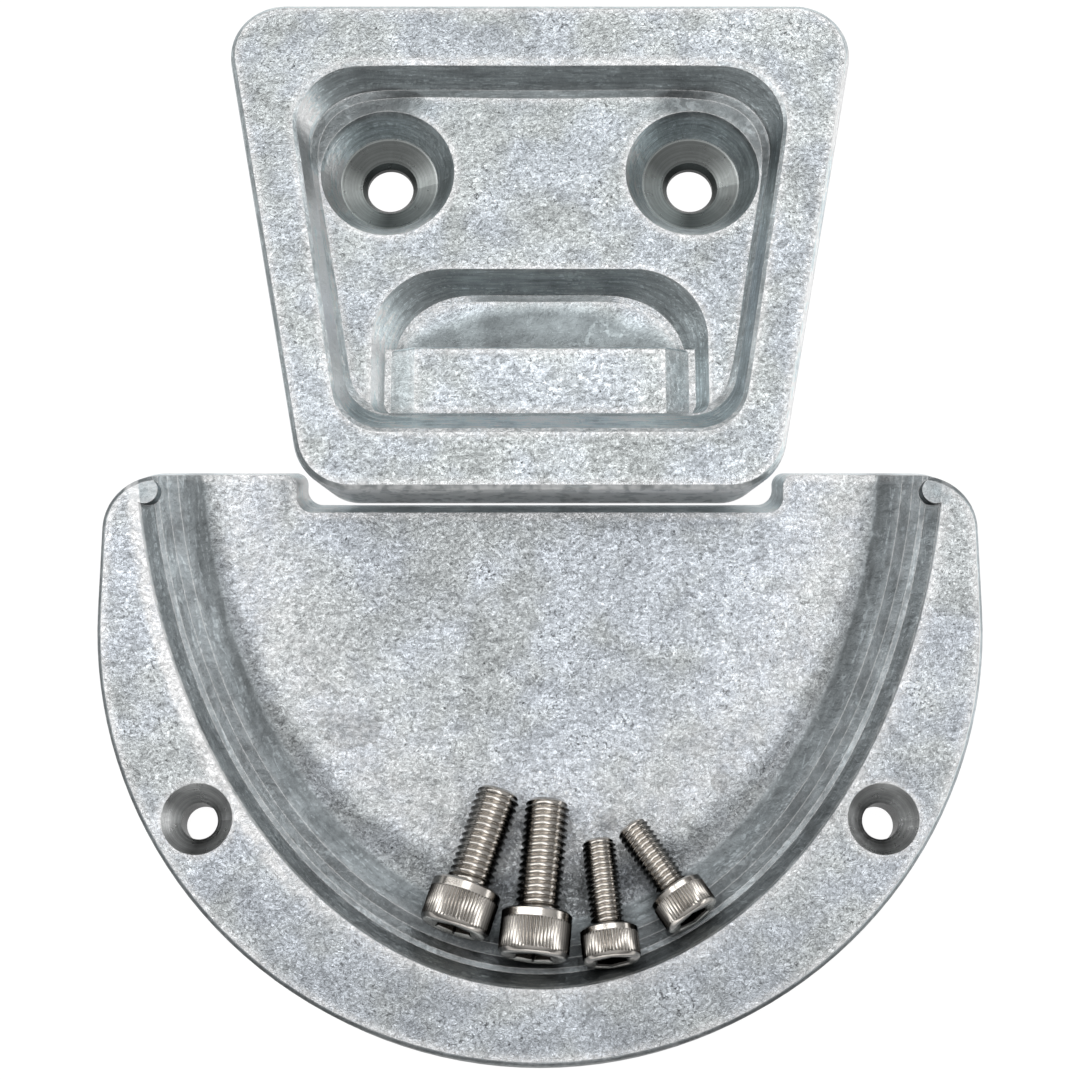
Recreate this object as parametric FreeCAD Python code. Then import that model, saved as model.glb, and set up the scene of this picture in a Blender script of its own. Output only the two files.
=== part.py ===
import FreeCAD, Part
import math
import os

# Split sacrificial anode set for a boat's hull fitting: an upper block casting, a lower
# half-round plate casting whose notch takes the block's lower edge, and the four
# socket-head cap screws that fix them. Lengths in millimetres, angles in degrees.
# X runs across the set, Y from the round plate to the block, Z up from the flat
# mounting faces. The origin is the middle of the whole set's footprint.

# Half-round plate casting, sizes across taken at its foot
plate_radius = 81.4
plate_thickness = 10.0
round_draft = 1.7
plate_corner_r = 10.0
north_edge_reach = 28.8       # straight north edge, from the round's centre
north_edge_draft = 18.8
notch_reach = 22.5            # notch floor, from the round's centre
notch_half_width = 44.2
notch_floor_draft = 27.0
notch_side_draft = 13.5
notch_root_r = 3.0
notch_mouth_r = 2.5
plate_edge_break = 0.7        # chamfer round the top

# Dish in the plate, with a stepped wall that follows an ellipse
south_rim_width = 13.7
side_rim_width = 5.4          # beyond the ellipse's widest point
dish_half_length = 112.0
dish_depth = 4.0
dish_edge_break = 0.35        # chamfer along the rim's inner edge
dish_steps = [                # run in from the rim's edge, depth below the rim
    (2.4, 1.9),               # foot of the steep drop
    (3.3, 2.0),               # first ledge
    (5.0, 2.7),               # groove
    (7.0, 2.5),               # ridge
]
dish_wall_run = 13.6
lug_radius = 2.5              # round end of the rim's inner edge at the north
lug_set_in = 1.0              # lug's centre, in from the rim's inner edge
lug_set_back = 2.7            # and south of the straight edge at rim height
lug_draft = 8.0

# Countersunk screw holes in the plate's rim
plate_hole_half_spacing = 61.4
plate_hole_drop = 38.2        # south of the round's centre
plate_hole_r = 3.3
countersink_r = 6.45
countersink_depth = 3.6

# Block casting, sizes across taken at its parting line
block_height = 14.5
block_length = 98.3
block_south_half_width = 44.0
block_side_slope = 10.56      # each side leans out by this angle towards the north
block_north_corner_r = 10.5
block_south_corner_r = 11.0
parting_height = 12.6
foot_inset = 3.0              # the wall below the parting line tapers in to the foot
foot_south_inset = 1.3
foot_corner_r = 8.5
top_inset = 0.3
block_edge_break = 0.7        # chamfer round the top

# Pocket in the block
pocket_depth = 4.75
pocket_half_width = 35.1      # at the block's south edge, if the sides ran on to it
pocket_side_slope = 9.4
pocket_wall_run = 4.5
pocket_side_wall_run = 2.3
north_rim = 12.7
south_rim = 11.6
pocket_north_corner_r = 12.0
pocket_south_corner_r = 9.0
pocket_root_break = 0.9       # flat that eases the wall into the floor
pocket_edge_break = 0.5       # chamfer round the pocket's mouth

# Arched recess in the pocket's floor, with a raised ledge across its south part
recess_half_width = 31.9
recess_north_reach = 45.1     # from the block's south edge to the arch's top
recess_depth = 4.75
recess_wall_run = 4.4
recess_corner_r = 14.0
recess_foot_r = 3.0
recess_root_break = 0.7
ledge_reach = 29.7            # the ledge's north edge, from the block's south edge
ledge_half_width = 23.7
ledge_drop = 0.5              # the ledge's top below the pocket's floor
ledge_shoulder_drop = 2.6
ledge_shoulder_run = 4.6
ledge_edge_r = 0.8

# Screw seats in the block: a cast cone, a turned seat, a tapered clearance hole
block_hole_half_spacing = 29.5
block_hole_reach = 64.9       # from the block's south edge
block_hole_r = 4.5
hole_land = 1.2               # straight stretch of the hole, from the foot up
hole_mouth_r = 5.4
hole_mouth_height = 2.35
seat_r = 9.5
seat_height = 4.55
seat_cone_angle = 33.5        # cast cone's wall, from the hole's axis

# The two castings stand this far apart at their feet
seam_gap = 0.35

# Cap screws: two large ones for the block, two small ones for the plate
large_screw = {"thread_d": 8.0, "pitch": 1.25, "head_d": 12.5, "head_height": 8.0,
               "socket_width": 6.0}
small_screw = {"thread_d": 6.0, "pitch": 1.0, "head_d": 10.2, "head_height": 6.0,
               "socket_width": 5.0}

# They lie loose in the dish with their heads up its south wall: thread length, how far
# across and how far north of the rim's inner edge the screw's middle is, and how its
# head swings from due south
loose_screws = {
    "cap_screw_large_left": (large_screw, 18.0, -11.2, 22.0, -18.0),
    "cap_screw_large_right": (large_screw, 20.0, 0.1, 18.7, -5.5),
    "cap_screw_small_left": (small_screw, 16.0, 11.5, 14.9, 5.9),
    "cap_screw_small_right": (small_screw, 14.0, 21.6, 20.0, 33.2),
}
screw_clearance = 0.1
tip_chamfer_pitches = 0.6
head_chamfer = 0.7
socket_depth_share = 0.5

overshoot = 2.0               # how far a cutting shape runs past the faces that it opens


def slope(angle):
    """Run for each millimetre of rise, of a wall drafted by an angle."""
    return math.tan(math.radians(angle))


# The set is centred on the origin along Y
block_south_from_round = notch_reach + seam_gap - foot_south_inset
set_length = plate_radius + block_south_from_round + block_length
round_y = plate_radius - set_length / 2
block_south_y = round_y + block_south_from_round
block_north_y = block_south_y + block_length

dish_half_width = plate_radius - side_rim_width
dish_y = round_y - plate_radius + south_rim_width + dish_half_length
dish_floor_z = plate_thickness - dish_depth
pocket_floor_z = block_height - pocket_depth
recess_floor_z = pocket_floor_z - recess_depth


def at(x, y, z):
    return FreeCAD.Vector(x, y, z)


def rounded_outline(corners, z):
    """Closed wire through corners (x, y, radius), each rounded by a tangent arc."""
    count = len(corners)
    arcs = []
    for i in range(count):
        x, y, radius = corners[i]
        corner = at(x, y, z)
        before = at(*corners[i - 1][:2], z) - corner
        after = at(*corners[(i + 1) % count][:2], z) - corner
        before.normalize()
        after.normalize()
        half_angle = before.getAngle(after) / 2
        tangent = radius / math.tan(half_angle)
        middle = before + after
        middle.normalize()
        crown = corner + middle * (radius / math.sin(half_angle) - radius)
        arcs.append((corner + before * tangent, crown, corner + after * tangent))
    edges = []
    for i in range(count):
        edges.append(Part.Arc(*arcs[i]).toShape())
        edges.append(Part.LineSegment(arcs[i][2], arcs[(i + 1) % count][0]).toShape())
    return Part.Wire(edges)


def drafted(outline, low, high):
    """Straight-walled solid between the same outline at two heights."""
    return Part.makeLoft([outline(low), outline(high)], True, True)


def edges_near(shape, test):
    """Edges whose every vertex and middle point passes the test."""
    found = []
    for edge in shape.Edges:
        middle = edge.valueAt((edge.FirstParameter + edge.LastParameter) / 2)
        points = [vertex.Point for vertex in edge.Vertexes] + [middle]
        if all(test(point) for point in points):
            found.append(edge)
    return found


# Plate


def half_round(z):
    """The plate's outline: a half circle, short straight sides and a straight north edge."""
    radius = plate_radius - z * slope(round_draft)
    north = round_y + north_edge_reach - z * slope(north_edge_draft)
    corner_x = radius - plate_corner_r
    corner_y = north - plate_corner_r
    bend = plate_corner_r * math.sqrt(0.5)

    def edge(kind, *points):
        return kind(*[at(x, y, z) for x, y in points]).toShape()

    return Part.Wire([
        edge(Part.Arc, (-radius, round_y), (0, round_y - radius), (radius, round_y)),
        edge(Part.LineSegment, (radius, round_y), (radius, corner_y)),
        edge(Part.Arc, (radius, corner_y), (corner_x + bend, corner_y + bend),
             (corner_x, north)),
        edge(Part.LineSegment, (corner_x, north), (-corner_x, north)),
        edge(Part.Arc, (-corner_x, north), (-corner_x - bend, corner_y + bend),
             (-radius, corner_y)),
        edge(Part.LineSegment, (-radius, corner_y), (-radius, round_y)),
    ])


def notch(z):
    """The notch's outline, open to the north past the plate's straight edge."""
    half_width = notch_half_width + z * slope(notch_side_draft)
    floor = round_y + notch_reach - z * slope(notch_floor_draft)
    far = round_y + north_edge_reach + plate_corner_r
    return rounded_outline([
        (-half_width, floor, notch_root_r),
        (half_width, floor, notch_root_r),
        (half_width, far, notch_root_r),
        (-half_width, far, notch_root_r),
    ], z)


def dish_line(inset, depth):
    """One line of the dish's wall: an ellipse, in from the rim's edge and below the rim."""
    z = plate_thickness - depth
    along = at(0, dish_y + dish_half_length - inset, z)
    across = at(dish_half_width - inset, dish_y, z)
    return Part.Wire(Part.Ellipse(along, across, at(0, dish_y, z)).toShape())


def dish_blend():
    """Lines of the hollow that runs from the ridge to the flat floor."""
    ridge_run, ridge_depth = dish_steps[-1]
    lines = []
    for share in (0, 1 / 3, 2 / 3, 1):
        run = ridge_run + share * (dish_wall_run - ridge_run)
        depth = ridge_depth + (dish_depth - ridge_depth) * math.sin(share * math.pi / 2)
        lines.append((run, depth))
    return lines


def dish_height(x, y):
    """Height of the dish's wall or floor at a point that is not far from the rim."""
    inset = 0.0
    for _ in range(6):
        half_width = dish_half_width - inset
        half_length = dish_half_length - inset
        miss = (x / half_width) ** 2 + ((y - dish_y) / half_length) ** 2 - 1
        rate = 2 * x ** 2 / half_width ** 3 + 2 * (y - dish_y) ** 2 / half_length ** 3
        inset -= miss / rate
    lines = [(0, 0)] + dish_steps + dish_blend()[1:]
    for (outer_run, outer_depth), (run, depth) in zip(lines, lines[1:]):
        if inset < run:
            share = (inset - outer_run) / (run - outer_run)
            return plate_thickness - outer_depth - share * (depth - outer_depth)
    return dish_floor_z


def dish():
    """The stepped drop and the hollow that blends it into the flat floor."""
    mouth = -dish_edge_break
    stepped = [dish_line(mouth, -overshoot), dish_line(mouth, 0)]
    stepped += [dish_line(0, dish_edge_break)]
    stepped += [dish_line(run, depth) for run, depth in dish_steps]
    blend = [dish_line(run, depth) for run, depth in dish_blend()]
    hollow = Part.makeLoft(stepped, True, True).fuse(Part.makeLoft(blend, True, False))
    north_at_rim = round_y + north_edge_reach - plate_thickness * slope(north_edge_draft)
    lug_y = north_at_rim - lug_set_back
    lug_x = dish_half_width * math.sqrt(1 - ((lug_y - dish_y) / dish_half_length) ** 2)
    for side in (-1, 1):
        foot = at(side * (lug_x - lug_set_in), lug_y, dish_floor_z)
        lug_height = dish_depth + 2 * overshoot
        lug = Part.makeCone(lug_radius + dish_depth * slope(lug_draft),
                            lug_radius - (lug_height - dish_depth) * slope(lug_draft),
                            lug_height, foot)
        hollow = hollow.cut(lug)
    return hollow


def countersunk_hole(side):
    centre_y = round_y - plate_hole_drop
    centre_x = side * plate_hole_half_spacing
    bore = Part.makeCylinder(plate_hole_r, plate_thickness + 2 * overshoot,
                             at(centre_x, centre_y, -overshoot))
    cone_slope = (countersink_r - plate_hole_r) / countersink_depth
    cone = Part.makeCone(plate_hole_r, countersink_r + overshoot * cone_slope,
                         countersink_depth + overshoot,
                         at(centre_x, centre_y, plate_thickness - countersink_depth))
    return bore.fuse(cone)


def anode_plate():
    plate = drafted(half_round, 0, plate_thickness)
    plate = plate.cut(drafted(notch, -overshoot, plate_thickness + overshoot))
    mouth_y = round_y + notch_reach + plate_edge_break
    mouth_x = notch_half_width + plate_corner_r
    mouths = edges_near(plate, lambda p: p.y > mouth_y and abs(p.x) < mouth_x)
    mouths = [edge for edge in mouths if edge.BoundBox.ZLength > plate_thickness / 2]
    plate = plate.makeFillet(notch_mouth_r, mouths)
    rim = edges_near(plate, lambda p: p.z > plate_thickness - 0.01)
    plate = plate.makeChamfer(plate_edge_break, rim)
    plate = plate.cut(dish())
    for side in (-1, 1):
        plate = plate.cut(countersunk_hole(side))
    return plate


# Block


def tapered_outline(z, half_width, side_slope, south, north, south_r, north_r):
    """Outline that widens to the north from a half width at the block's south edge."""
    south_x = half_width + (south - block_south_y) * slope(side_slope)
    north_x = half_width + (north - block_south_y) * slope(side_slope)
    return rounded_outline([
        (-south_x, south, south_r),
        (south_x, south, south_r),
        (north_x, north, north_r),
        (-north_x, north, north_r),
    ], z)


def block_section(z, inset, south_inset, south_r, north_r):
    """One level of the block's outside, moved in from the parting line's outline."""
    side_inset = inset / math.cos(math.radians(block_side_slope))
    return tapered_outline(z, block_south_half_width - side_inset, block_side_slope,
                           block_south_y + south_inset, block_north_y - inset,
                           south_r, north_r)


def pocket(z):
    """The pocket's outline: its wall runs out from the floor to the rim."""
    share = (block_height - z) / pocket_depth
    run = share * pocket_wall_run
    return tapered_outline(z, pocket_half_width - share * pocket_side_wall_run,
                           pocket_side_slope, block_south_y + south_rim + run,
                           block_north_y - north_rim - run,
                           pocket_south_corner_r, pocket_north_corner_r)


def recess(z):
    """The arched recess in the pocket's floor, which runs out under the south wall."""
    run = (pocket_floor_z - z) * recess_wall_run / recess_depth
    half_width = recess_half_width - run
    north = block_south_y + recess_north_reach - run
    south = block_south_y + south_rim + pocket_wall_run
    return rounded_outline([
        (-half_width, south, recess_foot_r),
        (half_width, south, recess_foot_r),
        (half_width, north, recess_corner_r),
        (-half_width, north, recess_corner_r),
    ], z)


def ledge():
    """Raised ledge: a flat top that slopes down to a shoulder at each side."""
    top = pocket_floor_z - ledge_drop
    shoulder = pocket_floor_z - ledge_shoulder_drop
    shoulder_x = ledge_half_width + ledge_shoulder_run
    side_x = recess_half_width + overshoot
    start = block_south_y
    section = [
        (-side_x, 0), (-side_x, shoulder), (-shoulder_x, shoulder), (-ledge_half_width, top),
        (ledge_half_width, top), (shoulder_x, shoulder), (side_x, shoulder), (side_x, 0),
    ]
    points = [at(x, start, z) for x, z in section]
    face = Part.Face(Part.makePolygon(points + points[:1]))
    raised = face.extrude(at(0, ledge_reach, 0))
    brow = edges_near(raised, lambda p: p.y > start + ledge_reach - 0.01
                      and p.z > shoulder - 0.01 and abs(p.x) < side_x - 0.01)
    return raised.makeFillet(ledge_edge_r, brow)


def screw_seat(side):
    """Clearance hole, turned seat and cast cone, as one turned shape to cut away."""
    top = block_height + overshoot
    top_r = seat_r + (top - seat_height) * slope(seat_cone_angle)
    profile = [
        (0, -overshoot), (block_hole_r, -overshoot), (block_hole_r, hole_land),
        (hole_mouth_r, hole_mouth_height), (seat_r, seat_height), (top_r, top), (0, top),
    ]
    x = side * block_hole_half_spacing
    y = block_south_y + block_hole_reach
    points = [at(x + r, y, z) for r, z in profile]
    face = Part.Face(Part.makePolygon(points + points[:1]))
    return face.revolve(at(x, y, 0), at(0, 0, 1), 360)


def anode_block():
    foot = block_section(0, foot_inset, foot_south_inset, foot_corner_r, foot_corner_r)
    widest = block_section(parting_height, 0, 0, block_south_corner_r, block_north_corner_r)
    top = block_section(block_height, top_inset, top_inset,
                        block_south_corner_r - top_inset, block_north_corner_r - top_inset)
    block = Part.makeLoft([foot, widest, top], True, True)
    rim = edges_near(block, lambda p: p.z > block_height - 0.01)
    block = block.makeChamfer(block_edge_break, rim)
    hollow = drafted(pocket, pocket_floor_z, block_height + overshoot)
    root = edges_near(hollow, lambda p: p.z < pocket_floor_z + 0.01)
    hollow = hollow.makeChamfer(pocket_root_break, root)
    arch = drafted(recess, recess_floor_z, pocket_floor_z + overshoot)
    arch_root = edges_near(arch, lambda p: p.z < recess_floor_z + 0.01)
    arch = arch.makeChamfer(recess_root_break, arch_root)
    block = block.cut(hollow)
    lip = edges_near(block, lambda p: p.z > block_height - 0.01
                     and block_south_y + south_rim / 2 < p.y < block_north_y - north_rim / 2)
    lip = [edge for edge in lip if abs(edge.BoundBox.Center.x) < block_south_half_width]
    block = block.makeChamfer(pocket_edge_break, lip)
    block = block.cut(arch.cut(ledge()))
    for side in (-1, 1):
        block = block.cut(screw_seat(side))
    return block


# Screws


def cap_screw(length, thread_d, pitch, head_d, head_height, socket_width):
    """Socket-head cap screw standing on its tip: chamfered shank, head, hexagon socket."""
    shank_r = thread_d / 2
    head_r = head_d / 2
    tip_chamfer = tip_chamfer_pitches * pitch
    end = length + head_height
    profile = [
        (0, 0), (shank_r - tip_chamfer, 0), (shank_r, tip_chamfer), (shank_r, length),
        (head_r, length), (head_r, end - head_chamfer), (head_r - head_chamfer, end), (0, end),
    ]
    points = [at(r, 0, z) for r, z in profile]
    face = Part.Face(Part.makePolygon(points + points[:1]))
    body = face.revolve(at(0, 0, 0), at(0, 0, 1), 360)
    socket_depth = socket_depth_share * head_height
    corner_r = socket_width / math.sqrt(3)
    corners = []
    for step in range(7):
        angle = math.radians(60 * step)
        corners.append(at(corner_r * math.cos(angle), corner_r * math.sin(angle),
                          end - socket_depth))
    socket = Part.Face(Part.makePolygon(corners)).extrude(at(0, 0, head_height))
    return body.cut(socket)


def laid_in_dish(size, length, middle_x, from_rim_edge, swing):
    """A screw at rest: its tip on the dish's floor and its head on the floor or the wall."""
    heading = at(math.sin(math.radians(swing)), -math.cos(math.radians(swing)), 0)
    middle = at(middle_x, round_y - plate_radius + south_rim_width + from_rim_edge, 0)
    shank_r = size["thread_d"] / 2
    step = size["head_d"] / 2 - shank_r
    full_length = length + size["head_height"]
    tilt = 0.0
    for _ in range(4):
        tip = middle - heading * (full_length * math.cos(tilt) / 2)
        rises = []
        for share in (0, 0.25, 0.5, 0.75, 1):
            reach = length + share * size["head_height"]
            under = tip + heading * (reach * math.cos(tilt))
            rise = dish_height(under.x, under.y) - dish_floor_z + step / math.cos(tilt)
            rises.append(rise / (reach * math.cos(tilt)))
        tilt = math.atan(max(rises))
    tip.z = dish_floor_z + screw_clearance + shank_r / math.cos(tilt)
    axis = heading * math.cos(tilt) + at(0, 0, math.sin(tilt))
    screw = cap_screw(length, **size)
    screw.Placement = FreeCAD.Placement(tip, FreeCAD.Rotation(at(0, 0, 1), axis))
    return screw


def write(node, shape):
    if len(shape.Solids) != 1 or not shape.isValid():
        raise ValueError(node + " is not one valid solid")
    shape.Solids[0].exportStep("parts/" + node + ".step")
    print(node, round(shape.Volume / 1000, 2), "cm3")


os.makedirs("parts", exist_ok=True)
write("anode_plate", anode_plate())
write("anode_block", anode_block())
for node, lie in loose_screws.items():
    write(node, laid_in_dish(*lie))
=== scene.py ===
import math

import bmesh
import bpy
import numpy as np
from mathutils import Matrix, Vector


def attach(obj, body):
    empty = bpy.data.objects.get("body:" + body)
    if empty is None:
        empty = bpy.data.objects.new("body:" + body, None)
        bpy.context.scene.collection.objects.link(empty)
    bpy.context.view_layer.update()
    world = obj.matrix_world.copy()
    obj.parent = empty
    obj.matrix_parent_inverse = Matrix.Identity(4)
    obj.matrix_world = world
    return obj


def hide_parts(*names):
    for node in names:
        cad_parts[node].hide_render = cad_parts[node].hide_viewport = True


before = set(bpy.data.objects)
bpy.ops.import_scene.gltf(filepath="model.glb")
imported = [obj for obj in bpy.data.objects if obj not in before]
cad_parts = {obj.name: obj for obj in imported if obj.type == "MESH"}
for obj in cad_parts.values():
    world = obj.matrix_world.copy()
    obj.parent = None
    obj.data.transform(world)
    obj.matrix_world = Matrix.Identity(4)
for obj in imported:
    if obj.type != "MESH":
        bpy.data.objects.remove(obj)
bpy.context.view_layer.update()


# Block casting
# The upper anode is one heavy casting in a light grey alloy, left as it came from the
# mould: a mottled, pitted top skin, smoother walls where it drew from the mould, and two
# screw seats turned after casting. It is bolted through those seats.

MM = 0.001


def node(tree, kind, inputs=None, **settings):
    """A node with its settings, and its inputs by name or number: a value or a socket."""
    made = tree.nodes.new(kind)
    for name, value in settings.items():
        setattr(made, name, value)
    for key, value in (inputs or {}).items():
        if isinstance(value, bpy.types.NodeSocket):
            tree.links.new(value, made.inputs[key])
        else:
            made.inputs[key].default_value = value
    return made


def calc(tree, operation, *values, clamp=False):
    """The result of one math node."""
    return node(tree, "ShaderNodeMath", dict(enumerate(values)),
                operation=operation, use_clamp=clamp).outputs[0]


def product(tree, first, *others):
    """Several values multiplied together."""
    for other in others:
        first = calc(tree, "MULTIPLY", first, other)
    return first


def weighted(tree, value, weight, base=1.0):
    """A value times a weight, added to a base."""
    return calc(tree, "MULTIPLY_ADD", value, weight, base)


def inverted(tree, mask):
    """0 where a mask is 1, and 1 where it is 0."""
    return calc(tree, "SUBTRACT", 1.0, mask)


def fade(tree, value, low, high):
    """0 below one value and 1 above the other, with a smooth step between."""
    return node(tree, "ShaderNodeMapRange", {0: value, 1: low, 2: high},
                interpolation_type="SMOOTHSTEP").outputs[0]


def mixed(tree, factor, first, second):
    """A value between two values."""
    return node(tree, "ShaderNodeMix", {0: factor, 2: first, 3: second}).outputs[0]


def blended(tree, factor, first, second):
    """A colour between two colours."""
    return node(tree, "ShaderNodeMix", {0: factor, 6: first, 7: second},
                data_type="RGBA").outputs[2]


def vector_calc(tree, operation, *values):
    """The result of one vector math node: a number for a length or a dot product."""
    made = node(tree, "ShaderNodeVectorMath", dict(enumerate(values)), operation=operation)
    return made.outputs[1 if operation in ("LENGTH", "DOT_PRODUCT") else 0]


def scaled(tree, vector, amount):
    """A vector or a colour times a number."""
    return node(tree, "ShaderNodeVectorMath", {0: vector, 3: amount}, operation="SCALE").outputs[0]


def axes(tree, vector):
    """The X, Y and Z of a vector."""
    return node(tree, "ShaderNodeSeparateXYZ", {0: vector}).outputs


def in_millimetres(tree):
    """The place on the piece, in millimetres."""
    return scaled(tree, node(tree, "ShaderNodeTexCoord").outputs["Object"], 1 / MM)


def face_normal(tree):
    """The way that the surface faces."""
    return node(tree, "ShaderNodeNewGeometry").outputs["Normal"]


def from_pair(tree, across, along):
    """Offset from the nearer of two mirrored points, and the height."""
    x, y, height = axes(tree, in_millimetres(tree))
    x = calc(tree, "SUBTRACT", calc(tree, "ABSOLUTE", x), across)
    y = calc(tree, "SUBTRACT", y, along)
    return node(tree, "ShaderNodeCombineXYZ", {0: x, 1: y}).outputs[0], height


def noise(tree, place, scale, detail=2, roughness=0.5, distortion=0.0):
    """A noise, with its scale in waves for each unit of the place."""
    return node(tree, "ShaderNodeTexNoise",
                {"Vector": place, "Scale": scale, "Detail": detail,
                 "Roughness": roughness, "Distortion": distortion}).outputs[0]


def thin_line(tree, field, half_width):
    """1 along the contour where a noise crosses its middle value, 0 beside it."""
    away = calc(tree, "ABSOLUTE", calc(tree, "SUBTRACT", field, 0.5))
    return inverted(tree, fade(tree, away, 0.0, half_width))


def shader_group(name, inputs, outputs):
    """An empty group with its sockets, its inputs, and its output node."""
    group = bpy.data.node_groups.new(name, "ShaderNodeTree")
    for label, kind, value in inputs:
        socket = group.interface.new_socket(label, in_out="INPUT", socket_type=kind)
        socket.default_value = value
    for label, kind in outputs:
        group.interface.new_socket(label, in_out="OUTPUT", socket_type=kind)
    given = group.nodes.new("NodeGroupInput").outputs
    return group, given, group.nodes.new("NodeGroupOutput")


def mould_skin(tree, bent, grain, crumb, crowd, broken, flat):
    """What the mould leaves on a flat face: grain, creases, curls, cracks and pits."""
    crease = product(tree, thin_line(tree, noise(tree, bent, scale=0.75, roughness=0.6), 0.055),
                     broken, weighted(tree, crowd, 0.4, 0.6))
    curl = thin_line(tree, noise(tree, bent, scale=0.9, roughness=0.6), 0.06)
    long_line = noise(tree, bent, scale=0.26, detail=3, roughness=0.6)
    crack = product(tree, thin_line(tree, long_line, 0.02), crowd, broken)
    spot = node(tree, "ShaderNodeTexVoronoi", {"Vector": bent, "Scale": 0.42})
    chance = node(tree, "ShaderNodeSeparateColor", {0: spot.outputs["Color"]}).outputs[0]
    pit = product(tree, inverted(tree, fade(tree, spot.outputs["Distance"], 0.05, 0.13)),
                  fade(tree, chance, 0.55, 0.8))
    flaw = product(tree, calc(tree, "MAXIMUM", pit, crack), flat)
    return product(tree, weighted(tree, grain, 0.9, 0.56), weighted(tree, crumb, 0.7, 0.66),
                   weighted(tree, crease, -0.75), weighted(tree, curl, 0.42),
                   weighted(tree, flaw, -0.75))


def drawn_wall(tree, place, crumb, broken, drawn):
    """A wall's look: streaks and drag lines from drawing out of the mould, small painted glints,
    painted light and shade by the way the wall faces, and painted shade where the drawn mask asks.
    """
    along_draw = vector_calc(tree, "MULTIPLY", place, (0.16, 0.16, 2.6))
    streak = noise(tree, along_draw, scale=1.0, roughness=0.65)
    along_drag = vector_calc(tree, "MULTIPLY", place, (0.05, 0.05, 1.5))
    drag = thin_line(tree, noise(tree, along_drag, scale=1.0, roughness=0.6), 0.03)
    wall = weighted(tree, streak, 1.1, 0.32)
    # Painted glints: small bright specks on the wall
    wall = weighted(tree, fade(tree, crumb, 0.60, 0.70), 0.35, wall)
    wall = weighted(tree, product(tree, drag, broken), 0.55, wall)
    # Painted light on walls that face east or north, painted shade on walls that face south, and
    # painted shade where the drawn mask asks
    toward_x, toward_y, _ = axes(tree, face_normal(tree))
    painted_lit_side = calc(tree, "MAXIMUM", fade(tree, toward_x, 0.25, 0.9),
                    product(tree, fade(tree, toward_y, 0.25, 0.9), 0.6))
    shaded = inverted(tree, fade(tree, toward_y, -0.9, -0.25))
    return product(tree, wall, weighted(tree, painted_lit_side, 1.7), weighted(tree, shaded, -0.45),
                   weighted(tree, drawn, -0.55))


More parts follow.
